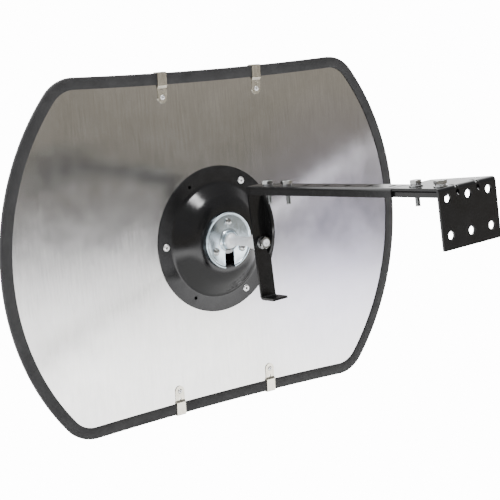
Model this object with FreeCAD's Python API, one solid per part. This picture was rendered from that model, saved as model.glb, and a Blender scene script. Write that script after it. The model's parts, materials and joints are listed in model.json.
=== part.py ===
"""Convex security mirror with a ball-jointed back and a steel wall bracket, as separate pieces.

Millimetres. +Y runs from the wall to the mirror, +X is to the right of someone who stands at the
wall and looks at the mirror's back, and +Z is up. The origin lies on the wall face of the wall
bracket, at the middle of its six screw holes.
"""
import FreeCAD
import Part
import math
import os
from FreeCAD import Placement, Rotation, Vector

# ---- Driving dimensions ----------------------------------------------------------------------

# Wall bracket: a steel plate folded into an L
PLATE_WIDTH = 88.9
PLATE_TOP = 32.8
PLATE_BOTTOM = -36.0
PLATE_SHEET = 3.0
PLATE_BEND = 1.5
PLATE_CORNER = 1.2
WALL_HOLE_PITCH_X = 31.75
WALL_HOLE_PITCH_Z = 40.6
WALL_HOLE_RADIUS = 4.75
SHELF_REACH = 73.0
SHELF_TIP_WIDTH = 62.0
DART_OFFSET = 8.0
DART_RADIUS = 2.6
DART_WALL = 2.0

# Arm: an inverted channel with a row of cross slots, inside the drop bar's own channel
ARM_WIDTH = 25.3
ARM_HEIGHT = 7.7
ARM_SHEET = 2.5
ARM_BEND = 1.0
ARM_NEAR = 5.0
ARM_FAR = 340.0
ARM_HOLE_FIRST = 12.0
ARM_HOLE_PITCH = 38.1
ARM_HOLE_COUNT = 9
ARM_SLOT_RADIUS = 3.5
ARM_SLOT_LENGTH = 10.0
ARM_TOP = PLATE_TOP - PLATE_SHEET

# Sleeve: the drop bar's upper part, a wider channel that lies over the arm, level with the shelf
SLEEVE_WIDTH = 31.8
SLEEVE_NEAR = 75.0
SLEEVE_FAR = 342.5
SLEEVE_BEND = 1.0
ARM_X = -PLATE_WIDTH / 2 + SLEEVE_WIDTH / 2

# Drop bar: narrower than its sleeve, folded at both ends, with one half-moon side rib
BAR_WIDTH = 23.0
BAR_SHEET = 3.0
BAR_BEND = 2.0
BAR_FRONT = 347.0
BAR_TOP_TAB = 79.0
BAR_FOOT = 27.0
BAR_BOTTOM = -115.0
BAR_FOOT_HOLE_RADIUS = 3.5
BAR_FOOT_HOLE_Y = 331.5
RIB_TOP = 20.1
RIB_BOTTOM = -58.9
RIB_DEPTH = 14.0
RIB_BITE = 0.5

# Ball stud; its ball's centre is where the mirror swivels
BALL = Vector(ARM_X, 415.0, -41.9)
BALL_RADIUS = 11.0
SHANK_RADIUS = 6.2
SHANK_END = 49.0
SHOULDER_START = 53.0
SHOULDER_FLATS = 17.5
SHOULDER_END = 67.7
THREAD_RADIUS = 4.7
THREAD_END = 80.5
THREAD_CHAMFER = 1.0
STUD_HOLE_RADIUS = 4.78
STUD_BORE_RADIUS = 4.75
STUD_WASHER_START = 71.3
STUD_WASHER_RADIUS = 8.1
STUD_WASHER_SHEET = 1.3
STUD_SPRING_RADIUS = 7.7
STUD_SPRING_SHEET = 1.8
STUD_NUT_FLATS = 14.0
STUD_NUT_HEIGHT = 5.0

# Quarter-inch screws that hold the bracket together
BOLT_RADIUS = 3.1
BOLT_BORE_RADIUS = 3.15
BOLT_HOLE_RADIUS = 3.35
BOLT_LENGTH = 25.4
BOLT_HEAD_FLATS = 12.7
BOLT_HEAD_HEIGHT = 4.2
BOLT_NUT_FLATS = 11.1
BOLT_NUT_HEIGHT = 5.6
BOLT_SPRING_RADIUS = 6.2
BOLT_SPRING_SHEET = 1.6
BOLT_WASHER_RADIUS = 7.9
BOLT_WASHER_SHEET = 1.3
WASHER_SLIT = 1.4
BORE_PLAY = 0.05

# Mirror, in its own frame: X and Z across the face, Y from the back of its rim towards the viewer
RIM_RADIUS = 324.8
RIM_HALF_HEIGHT = 228.6
RIM_FLAT_SAG = 4.6
RIM_CORNER = 52.0
RIM_THICKNESS = 7.1
GASKET_WALL = 1.7
GASKET_BACK_LIP = 15.0
GASKET_FRONT_LIP = 11.0
GASKET_BACK_SHEET = 1.5
GASKET_FRONT_SHEET = 1.6
PANEL_SHEET = 0.8
LENS_SHEET = 2.9
LENS_DEPTH = 70.0
LENS_DOME_INSET = 1.2
LENS_FLANGE_INSET = 2.4
LENS_COLUMNS = 23
LENS_ROWS = 19
FIT_GAP = 0.1
BALL_Y = -22.5
REST_TILT = 3.7
REST_ROLL = 2.8
REST_PAN = 1.3

# Edge clips
CLIP_X = 77.0
CLIP_WIDTH = 14.0
CLIP_SHEET = 1.0
CLIP_BEND = 0.3
CLIP_END = 186.0
CLIP_HOLE = 203.5
CLIP_HOLE_RADIUS = 1.8
CLIP_RIVET = 193.5
CLIP_HOOK = 8.0
CLIP_STEP_START = 4.0
CLIP_STEP_END = 1.2
CLIP_RIVET_HEAD = 3.4
CLIP_RIVET_SHANK = 1.6
CLIP_RIVET_BORE = 0.8
CLIP_RIVET_HEIGHT = 1.1

# Mounting dome, pressed from sheet steel
DOME_RADIUS = 97.5
DOME_SHEET = 1.2
DOME_BASE_RADIUS = 75.5
DOME_SHOULDER_RADIUS = 50.5
DOME_CREST = -18.0
DOME_WELL_RADIUS = 33.0
DOME_WELL_SLOPE = 1.2
DOME_FLOOR = -3.5
DOME_HOLE_CIRCLE = 85.0
DOME_HOLE_RADIUS = 2.4
DOME_RIVET_HEAD = 5.0
DOME_RIVET_SHANK = 2.3
DOME_RIVET_BORE = 1.5
DOME_RIVET_HEIGHT = 1.5
RIVET_ROUNDING = 0.45
RIVET_TAIL = 1.6
RIVET_BULB = 1.3

# Socket: a zinc-plated cap, a seat round the ball, a cup and a disc spring
CAP_RADIUS = 37.5
CAP_SHEET = 1.5
CAP_BEAD = 1.1
CAP_FACE = -22.0
COLLAR_FOOT_RADIUS = 13.6
COLLAR_FILLET = 4.0
COLLAR_CREST = 5.9
COLLAR_CREST_RADIUS = 11.6
BALL_CLEARANCE_RADIUS = 11.3
SEAT_INNER = 11.08
SEAT_OUTER = 13.42
POCKET_RADIUS = 13.5
SEAT_EDGE = 5.8
SEAT_HOLE_RADIUS = 4.0
FLARE_START = 4.6
FLARE_START_RADIUS = 10.03
FLARE_END = 6.4
FLARE_END_RADIUS = 11.0
SLOT_TOP_WIDTH = 13.6
SLOT_BOTTOM_WIDTH = 15.8
CUP_RADIUS = 17.5
CUP_LEVEL = -20.5
CUP_WALL = 2.1
SPRING_INNER = 7.0
SPRING_OUTER = 15.0
SPRING_SHEET = 1.1
CAP_SCREW_CIRCLE = 25.0
CAP_SCREW_RADIUS = 2.0
CAP_SCREW_HOLE = 2.1
CAP_SCREW_HEAD = 5.2
CAP_SCREW_HEAD_HEIGHT = 2.5
CAP_SCREW_END = 1.4
CAP_SCREW_CROWN = 6.5
CAP_SCREW_CROSS = 2.4
CAP_SCREW_CROSS_WIDTH = 1.0
CAP_SCREW_CROSS_DEPTH = 1.0
CAP_SCREW_TURNS = (90, 210, 330)
CAP_NUT_FLATS = 7.0
CAP_NUT_HEIGHT = 3.0

X_AXIS = Vector(1, 0, 0)
Y_AXIS = Vector(0, 1, 0)
Z_AXIS = Vector(0, 0, 1)
DART_SLOPE = Vector(0, 1, 1).normalize()

# ---- Shape helpers ---------------------------------------------------------------------------


def box(low, high):
    """A box between two opposite corners."""
    return Part.makeBox(high[0] - low[0], high[1] - low[1], high[2] - low[2], Vector(*low))


def rod(radius, start, axis, length):
    """A plain cylinder from a start point along an axis."""
    return Part.makeCylinder(radius, length, start, axis)


def tube(outer, inner, start, axis, length):
    """A ring or washer."""
    return rod(outer, start, axis, length).cut(rod(inner, start, axis, length))


def hexagon(flats, start, axis, length):
    """A hexagonal prism across the given flats, one corner towards +Z or +X."""
    corner = flats / math.sqrt(3)
    side = X_AXIS if abs(axis.z) > 0.5 else Z_AXIS
    other = axis.cross(side)
    corners = []
    for turn in range(7):
        angle = turn * math.pi / 3
        corners.append(start + side * (corner * math.cos(angle)) + other * (corner * math.sin(angle)))
    return Part.Face(Part.makePolygon(corners)).extrude(axis * length)


def chamfered_hexagon(flats, start, axis, length):
    """A hexagonal nut or bolt head with its outer corners turned down."""
    corner = flats / math.sqrt(3)
    turned = Part.makeCone(corner + length, flats / 2, length + corner - flats / 2, start, axis)
    return hexagon(flats, start, axis, length).common(turned)


def nut(flats, bore, start, axis, length):
    """A hexagonal nut, plain bored."""
    return chamfered_hexagon(flats, start, axis, length).cut(rod(bore, start, axis, length))


def spring_washer(outer, bore, start, axis, sheet):
    """A split lock washer."""
    side = X_AXIS if abs(axis.z) > 0.5 else Z_AXIS
    across = axis.cross(side)
    low = start - across * (WASHER_SLIT / 2) - axis * 1.0
    corner = [low, low + across * WASHER_SLIT]
    slit = Part.Face(Part.makePolygon([
        corner[0], corner[1], corner[1] + side * outer * 1.2, corner[0] + side * outer * 1.2, corner[0],
    ])).extrude(axis * (sheet + 2.0))
    return tube(outer, bore, start, axis, sheet).cut(slit)


def turn_2d(before, corner, after):
    """Unit directions into and out of a corner, and the signed angle of the turn to the left."""
    into = (corner[0] - before[0], corner[1] - before[1])
    out = (after[0] - corner[0], after[1] - corner[1])
    into_length = math.hypot(*into)
    out_length = math.hypot(*out)
    into = (into[0] / into_length, into[1] / into_length)
    out = (out[0] / out_length, out[1] / out_length)
    angle = math.atan2(into[0] * out[1] - into[1] * out[0], into[0] * out[0] + into[1] * out[1])
    return into, out, angle


def offset_line(points, distance):
    """The open line of points moved to its left by a distance, with its corners kept sharp."""
    moved = []
    for index, point in enumerate(points):
        before = points[index - 1] if index > 0 else None
        after = points[index + 1] if index + 1 < len(points) else None
        if before is None:
            _, out, _ = turn_2d((2 * point[0] - after[0], 2 * point[1] - after[1]), point, after)
            moved.append((point[0] - out[1] * distance, point[1] + out[0] * distance))
        elif after is None:
            into, _, _ = turn_2d(before, point, (2 * point[0] - before[0], 2 * point[1] - before[1]))
            moved.append((point[0] - into[1] * distance, point[1] + into[0] * distance))
        else:
            into, _, angle = turn_2d(before, point, after)
            along = -distance * math.tan(angle / 2)
            moved.append((
                point[0] - into[1] * distance + into[0] * along,
                point[1] + into[0] * distance + into[1] * along,
            ))
    return moved


def rounded_edges(points, radii, lift):
    """Edges along an open line whose inner corners have the given radii; lift maps 2D to 3D."""
    edges = []
    last = points[0]
    for index in range(1, len(points) - 1):
        corner = points[index]
        into, out, angle = turn_2d(points[index - 1], corner, points[index + 1])
        reach = radii[index - 1] * math.tan(abs(angle) / 2)
        start = (corner[0] - into[0] * reach, corner[1] - into[1] * reach)
        end = (corner[0] + out[0] * reach, corner[1] + out[1] * reach)
        if reach < 1e-6:
            start = end = corner
        if math.dist(last, start) > 1e-6:
            edges.append(Part.LineSegment(lift(last), lift(start)).toShape())
        if reach >= 1e-6:
            toward = (out[0] - into[0], out[1] - into[1])
            size = math.hypot(*toward)
            sagitta = reach / math.sin(abs(angle) / 2) * (1 - math.cos(abs(angle) / 2))
            middle = (
                corner[0] + toward[0] / size * sagitta,
                corner[1] + toward[1] / size * sagitta,
            )
            edges.append(Part.Arc(lift(start), lift(middle), lift(end)).toShape())
        last = end
    edges.append(Part.LineSegment(lift(last), lift(points[-1])).toShape())
    return edges


def sheet_face(path, thickness, bends, lift):
    """The section of a bent sheet: a line of points, a thickness to its left (or right if negative)
    and the inner radius of each bend."""
    path_radii = []
    other_radii = []
    for index in range(1, len(path) - 1):
        _, _, angle = turn_2d(path[index - 1], path[index], path[index + 1])
        bend = bends[index - 1]
        outside = angle * thickness > 0
        path_radii.append(bend + abs(thickness) if outside else bend)
        other_radii.append(bend if outside else bend + abs(thickness))
    other = offset_line(path, thickness)
    edges = rounded_edges(path, path_radii, lift)
    edges += rounded_edges(other, other_radii, lift)
    edges.append(Part.LineSegment(lift(path[0]), lift(other[0])).toShape())
    edges.append(Part.LineSegment(lift(path[-1]), lift(other[-1])).toShape())
    return Part.Face(Part.Wire(Part.__sortEdges__(edges)))


def revolve_about_y(face):
    """A full turn of a section about the mirror's own axis."""
    return face.revolve(Vector(0, 0, 0), Y_AXIS, 360)


def in_radius_and_y(point):
    return Vector(point[0], point[1], 0)


def ring_points(radius, degrees, y):
    """Points round the mirror's axis; 0 degrees is towards +X and 90 degrees is up."""
    points = []
    for angle in degrees:
        turn = math.radians(angle)
        points.append(Vector(radius * math.cos(turn), y, radius * math.sin(turn)))
    return points


def save(name, shape):
    """Write one node."""
    if not shape.isValid():
        raise ValueError(name + " is not a valid shape")
    shape.exportStep(os.path.join("parts", name + ".step"))
    print("%-26s solids %2d  volume %10.1f mm3" % (name, len(shape.Solids), shape.Volume))


# ---- Wall bracket, arm and drop bar ----------------------------------------------------------


def wall_hole_centres():
    centres = []
    for column in (-1, 0, 1):
        for row in (-0.5, 0.5):
            centres.append(Vector(column * WALL_HOLE_PITCH_X, 0, row * WALL_HOLE_PITCH_Z))
    return centres


def arm_hole_centres():
    centres = []
    for index in range(ARM_HOLE_COUNT):
        centres.append(Vector(ARM_X, ARM_HOLE_FIRST + index * ARM_HOLE_PITCH, 0))
    return centres


def cross_slot(centre, low, high):
    """A slot across the arm, as a cutting solid."""
    half = ARM_SLOT_LENGTH / 2 - ARM_SLOT_RADIUS
    slot = box(
        (centre.x - half, centre.y - ARM_SLOT_RADIUS, low),
        (centre.x + half, centre.y + ARM_SLOT_RADIUS, high),
    )
    for side in (-half, half):
        end = Vector(centre.x + side, centre.y, low)
        slot = slot.fuse(rod(ARM_SLOT_RADIUS, end, Z_AXIS, high - low))
    return slot.removeSplitter()


def dart_line(x):
    """Start and length of the slanting line along which a stiffening dart is pressed into the bend."""
    start = Vector(x, -DART_OFFSET, PLATE_TOP - 2 * DART_OFFSET)
    return start, 3 * DART_OFFSET * math.sqrt(2)


def wall_bracket():
    half = PLATE_WIDTH / 2
    section = sheet_face(
        [(SHELF_REACH, PLATE_TOP), (0.0, PLATE_TOP), (0.0, PLATE_BOTTOM)],
        PLATE_SHEET,
        [PLATE_BEND],
        lambda point: Vector(-half, point[0], point[1]),
    )
    bracket = section.extrude(X_AXIS * PLATE_WIDTH)
    tip = -half + SHELF_TIP_WIDTH
    waste = Part.Face(Part.makePolygon([
        Vector(half + 1, PLATE_SHEET + PLATE_BEND, PLATE_TOP + 1),
        Vector(half, PLATE_SHEET + PLATE_BEND, PLATE_TOP + 1),
        Vector(tip, SHELF_REACH, PLATE_TOP + 1),
        Vector(tip, SHELF_REACH + 1, PLATE_TOP + 1),
        Vector(half + 1, SHELF_REACH + 1, PLATE_TOP + 1),
        Vector(half + 1, PLATE_SHEET + PLATE_BEND, PLATE_TOP + 1),
    ])).extrude(Z_AXIS * -(PLATE_SHEET + 2))
    bracket = bracket.cut(waste)
    inside = box((-half, 0, PLATE_BOTTOM), (half, SHELF_REACH, PLATE_TOP))
    for x in (-WALL_HOLE_PITCH_X / 2, WALL_HOLE_PITCH_X / 2):
        start, length = dart_line(x)
        rib = rod(DART_RADIUS + DART_WALL, start, DART_SLOPE, length).common(inside)
        bracket = bracket.fuse(rib).cut(rod(DART_RADIUS, start, DART_SLOPE, length))
    for centre in wall_hole_centres():
        bracket = bracket.cut(rod(WALL_HOLE_RADIUS, centre, Y_AXIS, PLATE_SHEET))
    for centre in arm_hole_centres()[:2]:
        start = Vector(centre.x, centre.y, PLATE_TOP - PLATE_SHEET)
        bracket = bracket.cut(rod(BOLT_HOLE_RADIUS, start, Z_AXIS, PLATE_SHEET))
    corners = []
    for edge in bracket.Edges:
        middle = edge.CenterOfMass
        at_corner = abs(abs(middle.x) - half) < 0.1 and abs(middle.z - PLATE_BOTTOM) < 0.1
        if at_corner and abs(edge.Length - PLATE_SHEET) < 0.1:
            corners.append(edge)
    return bracket.makeFillet(PLATE_CORNER, corners).removeSplitter()


def arm_channel():
    half = ARM_WIDTH / 2
    low = ARM_TOP - ARM_HEIGHT
    section = sheet_face(
        [(-half, low), (-half, ARM_TOP), (half, ARM_TOP), (half, low)],
        -ARM_SHEET,
        [ARM_BEND, ARM_BEND],
        lambda point: Vector(ARM_X + point[0], ARM_NEAR, point[1]),
    )
    arm = section.extrude(Y_AXIS * (ARM_FAR - ARM_NEAR))
    for centre in arm_hole_centres():
        arm = arm.cut(cross_slot(centre, low, ARM_TOP + 1))
    start, length = dart_line(-WALL_HOLE_PITCH_X / 2)
    return arm.cut(rod(DART_RADIUS + DART_WALL + 0.3, start, DART_SLOPE, length))


def sleeve():
    """The channel over the arm, with slots that line up with the arm's."""
    half = SLEEVE_WIDTH / 2
    low = ARM_TOP - ARM_HEIGHT
    section = sheet_face(
        [(-half, low), (-half, PLATE_TOP), (half, PLATE_TOP), (half, low)],
        -BAR_SHEET,
        [SLEEVE_BEND, SLEEVE_BEND],
        lambda point: Vector(ARM_X + point[0], SLEEVE_NEAR, point[1]),
    )
    channel = section.extrude(Y_AXIS * (SLEEVE_FAR - SLEEVE_NEAR))
    for centre in arm_hole_centres()[2:-2]:
        channel = channel.cut(cross_slot(centre, low, PLATE_TOP + 1))
    return channel


def drop_bar():
    half = BAR_WIDTH / 2
    section = sheet_face(
        [
            (BAR_FRONT - BAR_TOP_TAB, PLATE_TOP),
            (BAR_FRONT, PLATE_TOP),
            (BAR_FRONT, BAR_BOTTOM),
            (BAR_FRONT - BAR_FOOT, BAR_BOTTOM),
        ],
        -BAR_SHEET,
        [BAR_BEND, BAR_BEND],
        lambda point: Vector(ARM_X - half, point[0], point[1]),
    )
    bar = section.extrude(X_AXIS * BAR_WIDTH)
    back = BAR_FRONT - BAR_SHEET
    middle = (RIB_TOP + RIB_BOTTOM) / 2
    outline = [
        Part.Arc(
            Vector(ARM_X + half, back + RIB_BITE, RIB_TOP),
            Vector(ARM_X + half, back - RIB_DEPTH, middle),
            Vector(ARM_X + half, back + RIB_BITE, RIB_BOTTOM),
        ).toShape(),
        Part.LineSegment(
            Vector(ARM_X + half, back + RIB_BITE, RIB_BOTTOM),
            Vector(ARM_X + half, back + RIB_BITE, RIB_TOP),
        ).toShape(),
    ]
    rib = Part.Face(Part.Wire(outline)).extrude(X_AXIS * -BAR_SHEET)
    bar = bar.fuse(rib).fuse(sleeve())
    bar = bar.cut(rod(STUD_HOLE_RADIUS, Vector(BALL.x, back - 1, BALL.z), Y_AXIS, BAR_SHEET + 2))
    foot_hole = Vector(ARM_X, BAR_FOOT_HOLE_Y, BAR_BOTTOM)
    bar = bar.cut(rod(BAR_FOOT_HOLE_RADIUS, foot_hole, Z_AXIS, BAR_SHEET))
    for centre in arm_hole_centres()[-2:]:
        start = Vector(centre.x, centre.y, ARM_TOP)
        bar = bar.cut(rod(BOLT_HOLE_RADIUS, start, Z_AXIS, BAR_SHEET))
    return bar.removeSplitter()


def screw_stack(centre, flat_washer):
    """One upright screw through the arm: the bolt, its lock washer, its flat washer and its nut."""
    level = Vector(centre.x, centre.y, PLATE_TOP)
    stack = {}
    if flat_washer:
        stack["flat_washers"] = tube(BOLT_WASHER_RADIUS, BOLT_BORE_RADIUS, level, Z_AXIS, BOLT_WASHER_SHEET)
        level = level + Z_AXIS * BOLT_WASHER_SHEET
    stack["lock_washers"] = spring_washer(
        BOLT_SPRING_RADIUS, BOLT_BORE_RADIUS, level, Z_AXIS, BOLT_SPRING_SHEET)
    level = level + Z_AXIS * BOLT_SPRING_SHEET
    head = chamfered_hexagon(BOLT_HEAD_FLATS, level, Z_AXIS, BOLT_HEAD_HEIGHT)
    shank = rod(BOLT_RADIUS, level - Z_AXIS * BOLT_LENGTH, Z_AXIS, BOLT_LENGTH)
    stack["bolts"] = head.fuse(shank).removeSplitter()
    under = Vector(centre.x, centre.y, ARM_TOP - ARM_SHEET - BOLT_NUT_HEIGHT)
    stack["nuts"] = nut(BOLT_NUT_FLATS, BOLT_BORE_RADIUS, under, Z_AXIS, BOLT_NUT_HEIGHT)
    return stack


def save_screws(prefix, centres, flat_washer):
    groups = {}
    for centre in centres:
        for kind, shape in screw_stack(centre, flat_washer).items():
            groups.setdefault(kind, []).append(shape)
    for kind, shapes in groups.items():
        save(prefix + "_" + kind, Part.makeCompound(shapes))


# ---- Ball stud, along -Y from the ball's centre ----------------------------------------------


def on_stud(distance):
    """A point on the stud's axis, at a distance from the ball's centre towards the wall."""
    return BALL - Y_AXIS * distance


def ball_stud():
    back = Y_AXIS * -1
    stud = Part.makeSphere(BALL_RADIUS, BALL)
    stud = stud.fuse(rod(SHANK_RADIUS, BALL, back, SHANK_END))
    shoulder = hexagon(SHOULDER_FLATS, on_stud(SHANK_END), back, SHOULDER_END - SHANK_END)
    corner = SHOULDER_FLATS / math.sqrt(3)
    turned = Part.makeCone(
        SHANK_RADIUS, corner, SHOULDER_START - SHANK_END, on_stud(SHANK_END), back)
    turned = turned.fuse(rod(corner, on_stud(SHOULDER_START), back, SHOULDER_END - SHOULDER_START))
    stud = stud.fuse(shoulder.common(turned))
    full_thread = THREAD_END - THREAD_CHAMFER
    stud = stud.fuse(rod(THREAD_RADIUS, on_stud(SHOULDER_END), back, full_thread - SHOULDER_END))
    stud = stud.fuse(Part.makeCone(
        THREAD_RADIUS, THREAD_RADIUS - THREAD_CHAMFER, THREAD_CHAMFER, on_stud(full_thread), back))
    return stud.removeSplitter()


def save_stud():
    back = Y_AXIS * -1
    level = STUD_WASHER_START
    save("ball_stud", ball_stud())
    save("stud_flat_washer", tube(
        STUD_WASHER_RADIUS, STUD_BORE_RADIUS, on_stud(level), back, STUD_WASHER_SHEET))
    level += STUD_WASHER_SHEET
    save("stud_lock_washer", spring_washer(
        STUD_SPRING_RADIUS, STUD_BORE_RADIUS, on_stud(level), back, STUD_SPRING_SHEET))
    level += STUD_SPRING_SHEET
    save("stud_nut", nut(STUD_NUT_FLATS, STUD_BORE_RADIUS, on_stud(level), back, STUD_NUT_HEIGHT))


# ---- Mirror, in its own frame ----------------------------------------------------------------


def flat_curve_radius():
    """Radius of the slightly hollow top and bottom edges."""
    half = math.sqrt(RIM_RADIUS ** 2 - RIM_HALF_HEIGHT ** 2)
    return (half ** 2 + RIM_FLAT_SAG ** 2) / (2 * RIM_FLAT_SAG)


def flat_height(x):
    """Height of the rim's top edge above the mirror's middle at a distance x from its centre line."""
    radius = flat_curve_radius()
    centre = RIM_HALF_HEIGHT - RIM_FLAT_SAG + radius
    return centre - math.sqrt(radius ** 2 - x ** 2)


def outline_prism(inset, low, high):
    """The mirror's outline, drawn in by an inset, from y = low to y = high."""
    radius = flat_curve_radius()
    centre = RIM_HALF_HEIGHT - RIM_FLAT_SAG + radius
    prism = rod(RIM_RADIUS - inset, Vector(0, low, 0), Y_AXIS, high - low)
    for side in (-1, 1):
        start = Vector(0, low - 1, side * centre)
        prism = prism.cut(rod(radius + inset, start, Y_AXIS, high - low + 2))
    corners = []
    for edge in prism.Edges:
        upright = abs(edge.BoundBox.YLength - (high - low)) < 1e-3
        if upright and edge.BoundBox.DiagonalLength < high - low + 1e-3 and abs(edge.CenterOfMass.x) > 100:
            corners.append(edge)
    return prism.makeFillet(max(RIM_CORNER - inset, 2.0), corners[:4])


def panel_back():
    return GASKET_BACK_SHEET + FIT_GAP


def lens_back():
    return panel_back() + PANEL_SHEET + FIT_GAP


def lens_height(x, z):
    """How far the mirror's face stands in front of its rim."""
    round_edge = RIM_RADIUS - GASKET_BACK_LIP
    flat_edge = RIM_HALF_HEIGHT - GASKET_BACK_LIP
    return LENS_DEPTH * (1 - (x * x + z * z) / round_edge ** 2) * (1 - (z / flat_edge) ** 2)


def mirror_lens():
    rim_front = lens_back() + LENS_SHEET
    grid = []
    for column in range(LENS_COLUMNS):
        x = -RIM_RADIUS + 2 * RIM_RADIUS * column / (LENS_COLUMNS - 1)
        line = []
        for row in range(LENS_ROWS):
            z = -RIM_HALF_HEIGHT + 2 * RIM_HALF_HEIGHT * row / (LENS_ROWS - 1)
            line.append(Vector(x, rim_front + lens_height(x, z), z))
        grid.append(line)
    surface = Part.BSplineSurface()
    surface.interpolate(grid)
    shell = surface.toShape().extrude(Y_AXIS * -LENS_SHEET)
    dome_inset = GASKET_BACK_LIP + LENS_DOME_INSET
    dome = shell.common(outline_prism(dome_inset, lens_back() - 6, rim_front + LENS_DEPTH + 5))
    flange = outline_prism(GASKET_WALL + FIT_GAP, lens_back(), rim_front)
    flange = flange.cut(outline_prism(
        GASKET_BACK_LIP + LENS_FLANGE_INSET, lens_back() - 1, rim_front + 1))
    return dome.fuse(flange)


def edge_gasket():
    outer = outline_prism(0, 0, RIM_THICKNESS)
    channel = outline_prism(GASKET_WALL, GASKET_BACK_SHEET, RIM_THICKNESS - GASKET_FRONT_SHEET)
    back_opening = outline_prism(GASKET_BACK_LIP, -1, GASKET_BACK_SHEET + 1)
    front_opening = outline_prism(
        GASKET_FRONT_LIP, RIM_THICKNESS - GASKET_FRONT_SHEET - 1, RIM_THICKNESS + 1)
    return outer.cut(channel).cut(back_opening).cut(front_opening)


def clip_places():
    places = []
    for upright, level in ((1, "top"), (-1, "bottom")):
        for across, side in ((-1, "left"), (1, "right")):
            places.append((level + "_" + side, across * CLIP_X, upright))
    return places


def back_panel():
    low = panel_back()
    panel = outline_prism(GASKET_WALL + FIT_GAP, low, low + PANEL_SHEET)
    for _, x, upright in clip_places():
        centre = Vector(x, low - 1, upright * CLIP_RIVET)
        panel = panel.cut(rod(CLIP_RIVET_SHANK + BORE_PLAY, centre, Y_AXIS, PANEL_SHEET + 2))
    for centre in ring_points(DOME_HOLE_CIRCLE, range(0, 360, 60), low - 1):
        panel = panel.cut(rod(DOME_HOLE_RADIUS, centre, Y_AXIS, PANEL_SHEET + 2))
    return panel


def edge_clip(x, upright):
    """A strip from the panel over the gasket and round the rim; upright is 1 at the top, -1 below."""
    on_panel = panel_back()
    edge = flat_height(abs(x) + CLIP_WIDTH / 2) + FIT_GAP
    lip = flat_height(abs(x)) - GASKET_BACK_LIP
    front = RIM_THICKNESS + FIT_GAP
    path = [
        (CLIP_END, on_panel),
        (lip - CLIP_STEP_START, on_panel),
        (lip - CLIP_STEP_END, -FIT_GAP),
        (edge, -FIT_GAP),
        (edge, front),
        (edge - CLIP_HOOK, front),
    ]
    section = sheet_face(
        path,
        -CLIP_SHEET,
        [CLIP_BEND] * 4,
        lambda point: Vector(x - CLIP_WIDTH / 2, point[1], upright * point[0]),
    )
    clip = section.extrude(X_AXIS * CLIP_WIDTH)
    end_radius = CLIP_WIDTH / 2
    end_centre = Vector(x, on_panel - 3, upright * (CLIP_END + end_radius))
    end_block = box((-end_radius, 0, 0), (end_radius, 6, end_radius))
    if upright > 0:
        end_block.translate(Vector(x, on_panel - 3, CLIP_END))
    else:
        end_block.translate(Vector(x, on_panel - 3, -CLIP_END - end_radius))
    clip = clip.cut(end_block.cut(rod(end_radius, end_centre, Y_AXIS, 6)))
    for height, radius in ((CLIP_HOLE, CLIP_HOLE_RADIUS), (CLIP_RIVET, CLIP_RIVET_SHANK + BORE_PLAY)):
        centre = Vector(x, on_panel - 3, upright * height)
        clip = clip.cut(rod(radius, centre, Y_AXIS, 6))
    return clip


def blind_rivet(centre, head_radius, shank_radius, bore, head_height, grip):
    """A hollow rivet whose head lies on the wall side of a stack; centre is under its head."""
    face = centre - Y_AXIS * head_height
    head = rod(head_radius, face, Y_AXIS, head_height)
    crown = []
    for edge in head.Edges:
        if abs(edge.CenterOfMass.y - face.y) < 0.01:
            crown.append(edge)
    head = head.makeFillet(head_height * RIVET_ROUNDING, crown)
    rivet = head.fuse(rod(shank_radius, centre, Y_AXIS, grip + RIVET_TAIL))
    bulb = shank_radius * RIVET_BULB
    rivet = rivet.fuse(Part.makeSphere(bulb, centre + Y_AXIS * (grip + bulb + FIT_GAP)))
    return rivet.cut(rod(bore, face - Y_AXIS, Y_AXIS, head_height + 1 + grip)).removeSplitter()


def clip_rivets():
    rivets = []
    for _, x, upright in clip_places():
        centre = Vector(x, panel_back() - CLIP_SHEET, upright * CLIP_RIVET)
        rivets.append(blind_rivet(
            centre, CLIP_RIVET_HEAD, CLIP_RIVET_SHANK, CLIP_RIVET_BORE, CLIP_RIVET_HEIGHT,
            CLIP_SHEET + PANEL_SHEET,
        ))
    return Part.makeCompound(rivets)


def mounting_dome():
    flange = panel_back() - DOME_SHEET
    path = [
        (DOME_RADIUS, flange),
        (DOME_BASE_RADIUS, flange),
        (DOME_SHOULDER_RADIUS, DOME_CREST),
        (DOME_WELL_RADIUS, DOME_CREST),
        (DOME_WELL_RADIUS - DOME_WELL_SLOPE, DOME_FLOOR),
        (0.0, DOME_FLOOR),
    ]
    section = sheet_face(path, -DOME_SHEET, [6.0, 16.0, 1.5, 1.5], in_radius_and_y)
    dome = revolve_about_y(section)
    for centre in ring_points(DOME_HOLE_CIRCLE, range(0, 360, 60), flange - 1):
        dome = dome.cut(rod(DOME_HOLE_RADIUS, centre, Y_AXIS, DOME_SHEET + 2))
    for centre in ring_points(CAP_SCREW_CIRCLE, CAP_SCREW_TURNS, DOME_FLOOR - 1):
        dome = dome.cut(rod(CAP_SCREW_HOLE, centre, Y_AXIS, DOME_SHEET + 2))
    return dome


def dome_rivets():
    rivets = []
    for centre in ring_points(DOME_HOLE_CIRCLE, (60, 180, 300), panel_back() - DOME_SHEET):
        rivets.append(blind_rivet(
            centre, DOME_RIVET_HEAD, DOME_RIVET_SHANK, DOME_RIVET_BORE, DOME_RIVET_HEIGHT,
            DOME_SHEET + PANEL_SHEET,
        ))
    return Part.makeCompound(rivets)


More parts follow.
